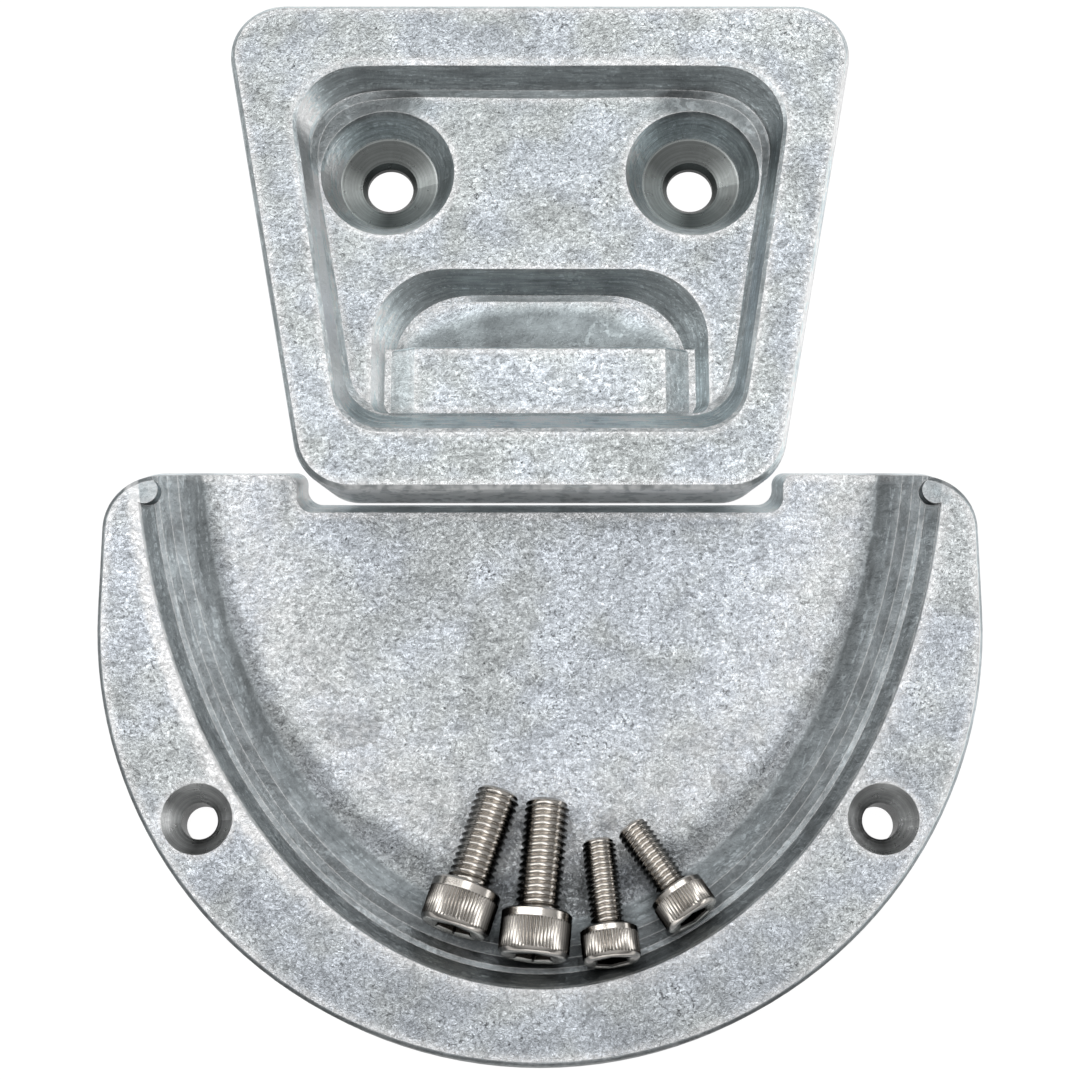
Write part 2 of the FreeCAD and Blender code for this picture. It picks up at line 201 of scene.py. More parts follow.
def cast_skin_group():
    """The casting's skin: the mould's on flat faces, drawn walls, and pale edges from wear with
    painted highlights, with painted light and shade on walls and painted shade in nooks.
    """
    group, given, result = shader_group(
        "cast_skin",
        [("Tone", "NodeSocketColor", (0.55, 0.58, 0.61, 1)),
         ("Edge", "NodeSocketFloat", 0.0), ("Line", "NodeSocketFloat", 0.0),
         ("Pale_and_painted_light", "NodeSocketFloat", 0.0), ("Shelter", "NodeSocketFloat", 1.0),
         ("Drawn_and_shade", "NodeSocketFloat", 0.0), ("Stain_and_shade", "NodeSocketFloat", 0.0)],
        [("Color", "NodeSocketColor"), ("Metallic", "NodeSocketFloat"),
         ("Roughness", "NodeSocketFloat"), ("Height", "NodeSocketFloat")])
    place = in_millimetres(group)
    rise = axes(group, face_normal(group))[2]
    flat = product(group, fade(group, rise, 0.86, 0.985), inverted(group, given["Drawn_and_shade"]))
    drift = node(group, "ShaderNodeTexNoise", {"Vector": place, "Scale": 0.8, "Detail": 2.0})
    bent = vector_calc(group, "MULTIPLY_ADD", drift.outputs[1], (0.9, 0.9, 0.9), place)
    grain = noise(group, place, scale=0.8, detail=3, roughness=0.65, distortion=2.2)
    crumb = noise(group, bent, scale=2.6, roughness=0.6)
    clouds = noise(group, place, scale=0.13, detail=3, roughness=0.65)
    cloud = fade(group, clouds, 0.25, 0.75)
    crowd = fade(group, clouds, 0.53, 0.68)
    broken = fade(group, noise(group, place, scale=1.1, detail=1), 0.46, 0.56)
    texture = mixed(group, flat, drawn_wall(group, place, crumb, broken, given["Drawn_and_shade"]),
                    mould_skin(group, bent, grain, crumb, crowd, broken, flat))

    # Pale oxide and painted highlights on worn edges and edge lines, and pale patches and painted
    # light wherever a mask asks for it
    patchy = fade(group, noise(group, place, scale=0.33, roughness=0.65), 0.40, 0.60)
    speckle = fade(group, noise(group, place, scale=1.3, roughness=0.7), 0.38, 0.58)
    wear_and_highlight = product(group, given["Edge"], given["Shelter"], weighted(group, flat, 0.9, 0.1),
                   weighted(group, patchy, 0.5, 0.5))
    wear_and_highlight = product(group, calc(group, "MAXIMUM", wear_and_highlight, given["Line"]),
                   weighted(group, speckle, 0.6, 0.4))
    # Pale patches and painted light, where the mask asks for it
    pale = product(group, given["Pale_and_painted_light"], weighted(group, patchy, 0.6, 0.4))
    pale_oxide_and_highlight = calc(group, "MULTIPLY", calc(group, "MAXIMUM", wear_and_highlight, pale), 1.6, clamp=True)

    # Grey of the metal, with painted shade in nooks, darker in stains and in the painted shade that
    # the mask brings, with a drift from warm to blue
    painted_nook_shade = product(group, inverted(group, fade(group, given["Shelter"], 0.25, 0.98)),
                   fade(group, rise, 0.3, 0.8))
    shade = product(group, weighted(group, noise(group, place, scale=0.035), 0.5, 0.75),
                    weighted(group, cloud, 0.4, 0.8), texture,
                    weighted(group, painted_nook_shade, -0.88), weighted(group, given["Stain_and_shade"], -0.28))
    hue = fade(group, noise(group, place, scale=0.07, roughness=0.6), 0.38, 0.62)
    tint = blended(group, hue, (1.0, 1.005, 0.985, 1), (0.965, 0.985, 1.03, 1))
    tint = blended(group, flat, (0.93, 0.99, 1.0, 1), tint)
    tint = blended(group, product(group, given["Stain_and_shade"], 0.2), tint, (0.985, 1.0, 0.985, 1))
    metal = vector_calc(group, "MULTIPLY", scaled(group, given["Tone"], shade), tint)
    color = blended(group, product(group, pale_oxide_and_highlight, 0.9), metal, (1.0, 1.0, 1.0, 1))
    group.links.new(color, result.inputs["Color"])
    oxide_and_highlight_share = product(group, pale_oxide_and_highlight, weighted(group, flat, -0.45, 0.7))
    group.links.new(inverted(group, oxide_and_highlight_share), result.inputs["Metallic"])

    gloss = mixed(group, flat, 0.36, weighted(group, grain, 0.30, 0.22))
    group.links.new(gloss, result.inputs["Roughness"])
    relief = product(group, grain, 0.25, weighted(group, flat, 0.7, 0.3))
    group.links.new(weighted(group, cloud, 0.12, relief), result.inputs["Height"])
    return group


def metal_material(name, group, values, edge_radius=0.25):
    """A metal from a skin group: its hard edges eased, its edges pale from wear and with painted
    highlights, and painted shade in its nooks.
    """
    wear_and_highlight_reach = 3.2
    nook_reach = 5.5
    material = bpy.data.materials.new(name)
    material.use_nodes = True
    tree = material.node_tree
    surface = tree.nodes["Principled BSDF"]
    surface.inputs["Metallic"].default_value = 1.0
    skin = node(tree, "ShaderNodeGroup", node_tree=group, name="skin")
    for label, value in values.items():
        skin.inputs[label].default_value = value
    tree.links.new(skin.outputs["Color"], surface.inputs["Base Color"])
    tree.links.new(skin.outputs["Roughness"], surface.inputs["Roughness"])
    eased = node(tree, "ShaderNodeBevel", {"Radius": edge_radius * MM}, samples=2).outputs[0]
    bump = node(tree, "ShaderNodeBump", {"Distance": MM, "Height": skin.outputs["Height"],
                                         "Normal": eased})
    tree.links.new(bump.outputs[0], surface.inputs["Normal"])
    # Masks for pale wear with painted highlights on edges (Edge), and painted highlight lines along
    # edges (Line)
    if "Edge" in skin.inputs:
        wide = node(tree, "ShaderNodeBevel", {"Radius": wear_and_highlight_reach * MM}, samples=4).outputs[0]
        for label, turned, low, high in (("Edge", wide, 0.0008, 0.008),
                                         ("Line", eased, 0.002, 0.02)):
            alike = vector_calc(tree, "DOT_PRODUCT", turned, face_normal(tree))
            tree.links.new(fade(tree, inverted(tree, alike), low, high), skin.inputs[label])
        tree.links.new(skin.outputs["Metallic"], surface.inputs["Metallic"])
    # Ambient occlusion, for the painted shade in nooks
    if "Shelter" in skin.inputs:
        painted_nook_shade = node(tree, "ShaderNodeAmbientOcclusion", {"Distance": nook_reach * MM}, samples=1)
        tree.links.new(painted_nook_shade.outputs["AO"], skin.inputs["Shelter"])
    return material


def turned_group():
    """Turned metal: fine rings about a screw hole's axis, with painted highlights at two bearings,
    a painted highlight line at the rim, and painted shade on steep faces.
    """
    group, given, result = shader_group(
        "turned_rings",
        [("Tone", "NodeSocketColor", (0.4, 0.41, 0.4, 1)),
         ("Across", "NodeSocketFloat", 30.0), ("Along", "NodeSocketFloat", 0.0),
         ("Steep", "NodeSocketFloat", 0.5), ("Rim", "NodeSocketFloat", 9.5)],
        [("Color", "NodeSocketColor"), ("Roughness", "NodeSocketFloat"),
         ("Height", "NodeSocketFloat")])
    place = in_millimetres(group)
    offset, height = from_pair(group, given["Across"], given["Along"])
    radius = vector_calc(group, "LENGTH", offset)
    ring_place = node(group, "ShaderNodeCombineXYZ", {0: radius, 1: height}).outputs[0]
    rings = noise(group, ring_place, scale=2.2, detail=5, roughness=0.8)
    bands = noise(group, ring_place, scale=0.9)
    smear = noise(group, place, scale=0.5, detail=3, roughness=0.6)

    # Painted highlights: two bright fans in each seat, at the same bearings on both sides of the
    # piece
    side = calc(group, "SIGN", axes(group, place)[0])
    flip = node(group, "ShaderNodeCombineXYZ", {0: side, 1: 1.0}).outputs[0]
    bearing = vector_calc(group, "NORMALIZE", vector_calc(group, "MULTIPLY", offset, flip))
    painted_fan_highlight = 1.0
    for heading, strength in (((-0.88, -0.47, 0), 1.7), ((0.85, -0.53, 0), 0.9)):
        toward = vector_calc(group, "DOT_PRODUCT", bearing, heading)
        painted_fan_highlight = weighted(group, fade(group, toward, 0.45, 1.0), strength, painted_fan_highlight)
    # Painted shade: steep faces darker
    steep = calc(group, "SUBTRACT", axes(group, face_normal(group))[2], given["Steep"])
    painted_steep_shade = weighted(group, fade(group, steep, -0.05, 0.05), 0.75, 0.25)
    # A painted highlight line at the rim
    off_rim = calc(group, "ABSOLUTE", calc(group, "SUBTRACT", radius, given["Rim"]))
    painted_rim_highlight = inverted(group, fade(group, off_rim, 0.05, 0.17))
    shade = product(group, weighted(group, rings, 1.5, 0.2), painted_fan_highlight, painted_steep_shade)
    shade = product(group, weighted(group, painted_rim_highlight, 0.9, shade),
                    weighted(group, bands, 0.5, 0.75), weighted(group, smear, 0.4, 0.8))
    group.links.new(scaled(group, given["Tone"], shade), result.inputs["Color"])
    group.links.new(weighted(group, smear, 0.2, 0.2), result.inputs["Roughness"])
    group.links.new(product(group, rings, 0.05), result.inputs["Height"])
    return group


cast_skin = cast_skin_group()
turned_rings = turned_group()


def turned_material(name, tone, across, along, steep, rim):
    """Turned metal whose fine grooves run round a pair of holes and stretch its highlights."""
    material = metal_material(name, turned_rings,
                              {"Tone": tone, "Across": across, "Along": along,
                               "Steep": steep, "Rim": rim}, edge_radius=0.15)
    tree = material.node_tree
    x, y, _ = axes(tree, in_millimetres(tree))
    off_axis = weighted(tree, calc(tree, "SIGN", x), -across, x)
    groove = node(tree, "ShaderNodeCombineXYZ", {0: calc(tree, "SUBTRACT", along, y),
                                                 1: off_axis}).outputs[0]
    surface = tree.nodes["Principled BSDF"]
    surface.inputs["Anisotropic"].default_value = 0.7
    tree.links.new(vector_calc(tree, "NORMALIZE", groove), surface.inputs["Tangent"])
    return material


def turn_faces(mesh, across, along, reach, top):
    """Give the faces about a pair of holes, above the foot and up to a height, slot 1."""
    foot = 0.02
    for face in mesh.polygons:
        middle = face.center / MM
        away = math.hypot(abs(middle.x) - across, middle.y - along)
        if away < reach and foot < middle.z < top:
            face.material_index = 1


block_tone = (0.565, 0.595, 0.61, 1)
seat_tone = (0.235, 0.25, 0.245, 1)
seat_across = 29.5
seat_along = 67.225
seat_reach = 9.6
seat_top = 4.8
seat_rim = 9.3
cone_radius = 12.7
corner_reach = 18.0
corner_bearing = (0.5, 0.87, 0)
pocket_floor = 9.75
recess_floor = 5.0
arch_bend = 0.012             # how fast the drawn look and painted shadow on the arch's floor turn back
arch_full = 39.5              # on the middle line it is full up to here
arch_gone = 45.0              # and gone by here
streaks_full = 3.0            # the south wall's streaks are full up to here
streaks_gone = 6.0


def inside_radius(tree, away, radius, softness):
    """1 inside a radius, and 0 outside it."""
    return inverted(tree, fade(tree, away, radius - softness, radius))


def cone_mask(tree):
    """1 inside each seat's cone."""
    offset, _ = from_pair(tree, seat_across, seat_along)
    return inside_radius(tree, vector_calc(tree, "LENGTH", offset), cone_radius, 0.8)


def corner_mask(tree):
    """1 behind each seat's cone, where the pocket's corner runs down into it: there it gets the
    drawn wall look and painted shade.
    """
    offset, height = from_pair(tree, seat_across, seat_along)
    bearing = vector_calc(tree, "NORMALIZE", offset)
    outward = vector_calc(tree, "DOT_PRODUCT", bearing, corner_bearing)
    away = vector_calc(tree, "LENGTH", offset)
    return product(tree, inverted(tree, inside_radius(tree, away, cone_radius, 0.8)),
                   inside_radius(tree, away, corner_reach, 1.0),
                   inverted(tree, fade(tree, height, pocket_floor + 0.25, pocket_floor + 1.75)),
                   fade(tree, outward, 0.3, 0.75))


def ledge_shadow_mask(tree):
    """1 on the arch's floor beside the ledge, falling away towards the arch's wall: a painted
    shadow of the ledge, with the drawn wall look.
    """
    x, y, height = axes(tree, in_millimetres(tree))
    reach = calc(tree, "ADD", y, product(tree, x, x, arch_bend))
    return product(tree, inverted(tree, fade(tree, reach, arch_full, arch_gone)),
                   inverted(tree, fade(tree, height, recess_floor + 0.1, recess_floor + 0.4)))


def south_wall_streaks_and_light(tree):
    """Pale streaks on the outer wall that faces the plate: streaks in the skin, and painted light
    on a wall that lies in shade.
    """
    facing_y = axes(tree, face_normal(tree))[1]
    place = in_millimetres(tree)
    along = axes(tree, place)[1]
    drawn = vector_calc(tree, "MULTIPLY", place, (0.08, 1, 1.6))
    return product(tree, inverted(tree, fade(tree, along, streaks_full, streaks_gone)),
                   inverted(tree, fade(tree, facing_y, -0.8, -0.5)),
                   weighted(tree, noise(tree, drawn, scale=1.0, detail=3, roughness=0.6), 1.0, 0.5))


block_skin = metal_material("block_cast_skin", cast_skin, {"Tone": block_tone})
tree = block_skin.node_tree
skin = tree.nodes["skin"]
# Painted shade with the drawn wall look behind each seat's cone, a painted shadow of the ledge on
# the arch's floor, darker cones, and pale streaks with painted light on the south wall
corner = corner_mask(tree)
tree.links.new(calc(tree, "MAXIMUM", corner, ledge_shadow_mask(tree)), skin.inputs["Drawn_and_shade"])
corner_shade_and_dark_cone = calc(tree, "MAXIMUM", product(tree, corner, 0.9), product(tree, cone_mask(tree), 0.8))
tree.links.new(corner_shade_and_dark_cone, skin.inputs["Stain_and_shade"])
tree.links.new(south_wall_streaks_and_light(tree), skin.inputs["Pale_and_painted_light"])

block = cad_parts["anode_block"]
block.data.materials.clear()
block.data.materials.append(block_skin)
block.data.materials.append(turned_material("block_turned_seat", seat_tone, seat_across,
                                            seat_along, steep=0.75, rim=seat_rim))
turn_faces(block.data, seat_across, seat_along, seat_reach, seat_top)


# Plate casting
# The lower anode is a second casting of the same alloy: a half-round plate with a shallow
# dish, whose notch takes the block's edge. Its two screw holes are countersunk.

plate_tone = (0.55, 0.575, 0.595, 1)
plate_floor = 6.0
plate_top = 10.0
dish_half_width = 76.0
dish_half_length = 112.0
dish_middle = 25.1
lug_across = 73.0
lug_along = 3.4
countersink_tone = (0.33, 0.335, 0.335, 1)
countersink_across = 61.4
countersink_along = -57.425
countersink_reach = 6.5
countersink_rim = 6.45
countersink_top = 9.99
lip_highlight_from = -62.0         # the painted highlight on the lip is strongest left of this
lip_highlight_to = -30.0
wall_foot = 12.5              # in from the rim's edge, about where the wall meets the floor
middle_from = 26.0            # and where the floor's darker middle starts and is full
middle_full = 55.0
# Stains in the dish: middle across and along, half width and half length
stains = [(-34.3, -40.3, 6.2, 4.0), (32.7, -50.0, 1.9, 2.3), (11.7, -57.2, 2.6, 2.4)]


def stain_mask(tree):
    """1 in the lower part of each stain, with a ragged edge, and fading out upwards."""
    place = in_millimetres(tree)
    ragged = noise(tree, place, scale=0.5, detail=4, roughness=0.6)
    mask = 0.0
    for x, y, half_width, half_length in stains:
        off = vector_calc(tree, "SUBTRACT", place, (x, y, plate_floor))
        off = vector_calc(tree, "DIVIDE", off, (half_width, half_length, 4.0))
        away = calc(tree, "ADD", ragged, vector_calc(tree, "LENGTH", off))
        upper = fade(tree, axes(tree, off)[1], 0.1, 1.0)
        inside = product(tree, inverted(tree, fade(tree, away, 1.42, 1.50)),
                         weighted(tree, upper, -0.85))
        mask = calc(tree, "MAXIMUM", mask, inside)
    return mask


def drawn_and_shade_mask(tree):
    """1 on the dish's stepped wall, between the rim and the floor, and less on the lugs: the drawn
    wall look with painted shade.
    """
    offset, height = from_pair(tree, lug_across, lug_along)
    wall = product(tree, fade(tree, height, plate_floor + 0.01, plate_floor + 0.26),
                   inverted(tree, fade(tree, height, plate_top - 0.3, plate_top - 0.1)))
    on_lug = inside_radius(tree, vector_calc(tree, "LENGTH", offset), 4.2, 1.2)
    return calc(tree, "MAXIMUM", wall, product(tree, on_lug, 0.85))


def from_rim_edge(tree):
    """Distance from the rim's inner edge, which is an ellipse: above 0 on the rim."""
    place = vector_calc(tree, "SUBTRACT", in_millimetres(tree), (0, dish_middle, 0))
    place = vector_calc(tree, "MULTIPLY", place, (1 / dish_half_width, 1 / dish_half_length, 0))
    reach = dish_half_width * 1.1
    return weighted(tree, vector_calc(tree, "LENGTH", place), reach, -reach)


def lip_highlight_and_pale_floor(tree):
    """Painted highlight along the lip on the left, and pale patches round the dish's floor."""
    distance = from_rim_edge(tree)
    inward = product(tree, distance, -1.0)
    across = axes(tree, in_millimetres(tree))[0]
    left = inverted(tree, fade(tree, across, lip_highlight_from, lip_highlight_to))
    lip = product(tree, fade(tree, distance, -0.2, 0.2),
                  inverted(tree, fade(tree, distance, 1.4, 3.6)),
                  weighted(tree, left, 0.75, 0.2))
    on_floor = product(tree, fade(tree, inward, wall_foot + 0.5, wall_foot + 4.5),
                       inverted(tree, fade(tree, inward, wall_foot + 5.5, wall_foot + 23.5)))
    return calc(tree, "MAXIMUM", lip, product(tree, on_floor, 0.25))


def foot_shade(tree):
    """Painted shade: 1 up the foot of the dish's wall, with a ragged edge out on the floor."""
    ragged = noise(tree, in_millimetres(tree), scale=0.22, detail=4, roughness=0.65)
    inward = weighted(tree, from_rim_edge(tree), -1.0, weighted(tree, ragged, 5.0, -2.5))
    return product(tree, fade(tree, inward, wall_foot - 6.5, wall_foot - 1.0),
                   inverted(tree, fade(tree, inward, wall_foot, wall_foot + 3.5)))


plate_skin = metal_material("plate_cast_skin", cast_skin, {"Tone": plate_tone})
tree = plate_skin.node_tree
skin = tree.nodes["skin"]
# Real stains, painted shade up the foot of the dish's wall, and darker towards the middle and the
# south end
darker_middle = fade(tree, product(tree, from_rim_edge(tree), -1.0), middle_from, middle_full)
toward_south = inverted(tree, fade(tree, axes(tree, in_millimetres(tree))[1], -95.0, -55.0))
stain_and_shade_mask = product(tree, stain_mask(tree), 1.4)
for mask, depth in ((darker_middle, 0.5), (foot_shade(tree), 1.7), (toward_south, 0.55)):
    stain_and_shade_mask = calc(tree, "MAXIMUM", stain_and_shade_mask, product(tree, mask, depth))
tree.links.new(stain_and_shade_mask, skin.inputs["Stain_and_shade"])
tree.links.new(drawn_and_shade_mask(tree), skin.inputs["Drawn_and_shade"])
tree.links.new(lip_highlight_and_pale_floor(tree), skin.inputs["Pale_and_painted_light"])

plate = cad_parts["anode_plate"]
plate.data.materials.clear()
plate.data.materials.append(plate_skin)
plate.data.materials.append(turned_material("plate_turned_countersink", countersink_tone,
                                            countersink_across, countersink_along,
                                            steep=0.4, rim=countersink_rim))
turn_faces(plate.data, countersink_across, countersink_along, countersink_reach,
           countersink_top)


# Cap screws
# Stainless socket-head screws with rolled threads and straight-knurled heads, cold headed
# round a hexagon punch. They lie loose in the plate's dish, two of each size.

large_size = {"thread_d": 8.0, "pitch": 1.25, "head_d": 12.5, "head_height": 8.0,
              "socket": 6.0, "ridges": 60}
small_size = {"thread_d": 6.0, "pitch": 1.0, "head_d": 10.2, "head_height": 6.0,
              "socket": 5.0, "ridges": 50}
steel_tone = (0.70, 0.66, 0.61, 1)
thread_depth_pitches = 0.38
thread_tip_pitches = 0.62
thread_into_head = 0.2
knurl_depth = 0.32
sharp_angle = math.radians(38)


def geometry_tree(name, takes_geometry, values):
    """A geometry tree that takes some numbers and a material, with its inputs and output."""
    tree = bpy.data.node_groups.new(name, "GeometryNodeTree")
    if takes_geometry:
        tree.interface.new_socket("Geometry", in_out="INPUT", socket_type="NodeSocketGeometry")
    for label, value in values.items():
        socket = tree.interface.new_socket(label, in_out="INPUT", socket_type="NodeSocketFloat")
        socket.default_value = value
    tree.interface.new_socket("Steel", in_out="INPUT", socket_type="NodeSocketMaterial")
    tree.interface.new_socket("Geometry", in_out="OUTPUT", socket_type="NodeSocketGeometry")
    return tree, tree.nodes.new("NodeGroupInput").outputs, tree.nodes.new("NodeGroupOutput")


def finish_tree(tree, geometry, given, result):
    """Realize the instances, set the material and hand the geometry out."""
    real = node(tree, "GeometryNodeRealizeInstances", {0: geometry})
    finish = node(tree, "GeometryNodeSetMaterial", {"Geometry": real.outputs[0],
                                                    "Material": given["Steel"]})
    tree.links.new(finish.outputs[0], result.inputs[0])
    return tree


def mark_sunk(tree, geometry, depth):
    """Keep how deep each point lies in a groove, for the steel's darker grooves."""
    return node(tree, "GeometryNodeStoreNamedAttribute",
                {"Geometry": geometry, "Name": "sunk", "Value": depth},
                data_type="FLOAT", domain="POINT").outputs[0]


def thread_tree():
    """A rolled thread: a strip of rows along the helix, closed at the tip and the head."""
    tree, given, result = geometry_tree("rolled_thread", False, {
        "Radius": 4.0, "Pitch": 1.25, "Length": 20.0, "Depth": 0.7, "Tip": 0.8})
    around = 56
    rows_per_turn = 12
    crest_width = 1.1
    flank_rate = 2.3
    root_power = 3.2

    turns = calc(tree, "ADD", calc(tree, "DIVIDE", given["Length"], given["Pitch"]), 2.0)
    turns = calc(tree, "CEIL", turns)
    rows = weighted(tree, turns, rows_per_turn)
    grid = node(tree, "GeometryNodeMeshGrid", {0: 1.0, 1: 1.0, 2: around + 1, 3: rows})
    x, y, _ = axes(tree, node(tree, "GeometryNodeInputPosition").outputs[0])
    lap = calc(tree, "ADD", x, 0.5)
    climb = product(tree, calc(tree, "ADD", y, 0.5), turns)
    angle = product(tree, lap, 2 * math.pi)
    free = product(tree, calc(tree, "SUBTRACT", calc(tree, "ADD", climb, lap), 1.5),
                   given["Pitch"])
    height = calc(tree, "MINIMUM", calc(tree, "MAXIMUM", free, 0.0), given["Length"])

    # The groove's section: a rounded root between flat-topped crests, running out at the head
    off_crest = calc(tree, "ABSOLUTE", calc(tree, "SUBTRACT", calc(tree, "FRACT", climb), 0.5))
    toward_crest = calc(tree, "MULTIPLY_ADD", off_crest, -flank_rate, crest_width, clamp=True)
    groove = inverted(tree, calc(tree, "POWER", toward_crest, root_power))
    from_head = calc(tree, "DIVIDE", calc(tree, "SUBTRACT", given["Length"], height),
                     given["Pitch"])
    run_out = calc(tree, "MINIMUM", from_head, 1.0)
    groove = calc(tree, "ADD", product(tree, groove, run_out), inverted(tree, run_out))
    radius = calc(tree, "SUBTRACT", given["Radius"], product(tree, groove, given["Depth"]))
    tip_radius = calc(tree, "SUBTRACT", given["Radius"], given["Tip"])
    radius = calc(tree, "MINIMUM", radius, calc(tree, "ADD", tip_radius, height))
    place = node(tree, "ShaderNodeCombineXYZ",
                 {0: product(tree, radius, calc(tree, "COSINE", angle)),
                  1: product(tree, radius, calc(tree, "SINE", angle)), 2: height})
    shank = node(tree, "GeometryNodeSetPosition",
                 {"Geometry": mark_sunk(tree, grid.outputs[0], groove),
                  "Position": place.outputs[0]})
    end = node(tree, "GeometryNodeMeshCircle", {0: around, 1: tip_radius}, fill_type="NGON")
    end = node(tree, "GeometryNodeFlipFaces", {0: end.outputs[0]})
    joined = node(tree, "GeometryNodeJoinGeometry")
    tree.links.new(shank.outputs[0], joined.inputs[0])
    tree.links.new(end.outputs[0], joined.inputs[0])
    welded = node(tree, "GeometryNodeMergeByDistance", {"Geometry": joined.outputs[0],
                                                        "Distance": 0.001})
    return finish_tree(tree, welded.outputs[0], given, result)


def knurl_tree():
    """Straight knurling: ridges pressed in round the head wherever the mesh is marked."""
    tree, given, result = geometry_tree("straight_knurl", True, {"Ridges": 60.0, "Depth": 0.25})
    place = node(tree, "GeometryNodeInputPosition").outputs[0]
    x, y, _ = axes(tree, place)
    angle = calc(tree, "ARCTAN2", y, x)
    wave = calc(tree, "COSINE", product(tree, angle, given["Ridges"]))
    marked = node(tree, "GeometryNodeInputNamedAttribute", {"Name": "knurled"},
                  data_type="FLOAT").outputs["Attribute"]
    sunk = product(tree, weighted(tree, wave, -0.5, 0.5), marked)
    outward = vector_calc(tree, "MULTIPLY", place, (1, 1, 0))
    inward = product(tree, sunk, given["Depth"], -1.0)
    pressed = node(tree, "GeometryNodeSetPosition", {
        "Geometry": given["Geometry"],
        "Offset": scaled(tree, vector_calc(tree, "NORMALIZE", outward), inward)})
    return finish_tree(tree, mark_sunk(tree, pressed.outputs[0], sunk), given, result)


def grown(carrier, tree, values):
    """The plain mesh that a geometry tree makes on a carrier, with its inputs set."""
    modifier = carrier.modifiers.new(tree.name, "NODES")
    modifier.node_group = tree
    for item in tree.interface.items_tree:
        if item.in_out == "INPUT" and item.name in values:
            modifier[item.identifier] = values[item.name]
    bpy.context.view_layer.update()
    seen = carrier.evaluated_get(bpy.context.evaluated_depsgraph_get())
    mesh = bpy.data.meshes.new_from_object(seen)
    carrier.modifiers.remove(modifier)
    return mesh


def carrier_of(mesh):
    """An object that carries a mesh, in the scene."""
    carrier = bpy.data.objects.new(mesh.name, mesh)
    bpy.context.scene.collection.objects.link(carrier)
    return carrier


def head_mesh(size):
    """The head before knurling: a turned outline that steps in to the hexagon socket."""
    points_per_ridge = 4
    around = size["ridges"] * points_per_ridge
    radius = size["head_d"] / 2
    top = size["head_height"]
    socket = size["socket"] / 2
    edge = 0.07 * size["head_d"]
    collar = 0.22 * top
    foot_edge = 0.4
    ease = 0.15
    mouth = 0.5
    neck = size["thread_d"] / 2 - 0.9
    rows = [  # radius, height, share of the knurling, share of the hexagon
        (neck, 0, 0, 0), (radius - foot_edge, 0, 0, 0), (radius, foot_edge, 0, 0),
        (radius, collar - 0.1, 0, 0), (radius, collar, 0, 0), (radius, collar + ease, 1, 0),
        (radius, top - edge - mouth, 1, 0), (radius, top - edge, 0, 0),
        (radius - 0.35 * edge, top - 0.35 * edge, 0, 0), (radius - edge, top, 0, 0),
        (socket + mouth, top, 0, 1), (socket + 0.05, top - 0.35, 0, 1),
        (socket, top * 0.5, 0, 1), (0.6 * socket, top * 0.46, 0, 0.4),
    ]
    points = []
    marks = []
    for r, z, knurled, hexagon in rows:
        for i in range(around):
            turn = 2 * math.pi * i / around
            corner = (turn + math.pi / 6) % (math.pi / 3) - math.pi / 6
            reach = r * (1 + hexagon * (1 / math.cos(corner) - 1))
            points.append((reach * math.cos(turn), reach * math.sin(turn), z))
            marks.append(knurled)
    faces = []
    for row in range(len(rows) - 1):
        low = row * around
        for i in range(around):
            after = (i + 1) % around
            faces.append((low + i, low + after, low + around + after, low + around + i))
    last = (len(rows) - 1) * around
    faces.append(tuple(range(last, last + around)))
    faces.append(tuple(range(around - 1, -1, -1)))
    mesh = bpy.data.meshes.new("head_blank")
    mesh.from_pydata(points, [], faces)
    mesh.attributes.new("knurled", "FLOAT", "POINT").data.foreach_set("value", marks)
    return mesh


def places_of(mesh):
    """The mesh's points as rows of an array."""
    places = np.empty(len(mesh.vertices) * 3)
    mesh.vertices.foreach_get("co", places)
    return places.reshape(-1, 3)


def lie_of(name):
    """Where a screw lies: its tip, with Z along its axis to the head, and its full length."""
    points = np.unique(places_of(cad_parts[name].data).round(7), axis=0)
    middle = points.mean(axis=0)
    axis = np.linalg.svd(points - middle)[2][0]
    along = (points - middle) @ axis
    off_axis = np.linalg.norm(points - middle - np.outer(along, axis), axis=1)
    if off_axis[along > 0].max() < off_axis[along < 0].max():
        axis = -axis
        along = -along
    tip = Vector(middle + axis * along.min())
    turn = Vector(axis).to_track_quat("Z", "Y")
    return Matrix.LocRotScale(tip, turn, (MM, MM, MM)), (along.max() - along.min()) / MM


def mark_upward(mesh, lie, full_length, thread_d):
    """Keep how far each point of a screw faces up from its axis, for the painted shade on its
    underside: 1 on the tip and the end.
    """
    core_share = 0.85
    end_depth = 0.3
    points = places_of(mesh) - np.array(lie.translation)
    axis = np.array((lie.to_3x3() @ Vector((0, 0, 1))).normalized())
    along = points @ axis
    off_axis = points - np.outer(along, axis)
    away = np.linalg.norm(off_axis, axis=1)
    upward = off_axis[:, 2] / np.maximum(away, 1e-9)
    upward[away < core_share * thread_d / 2 * MM] = 1
    upward[along > (full_length - end_depth) * MM] = 1
    mesh.attributes.new("upward", "FLOAT", "POINT").data.foreach_set("value", upward)


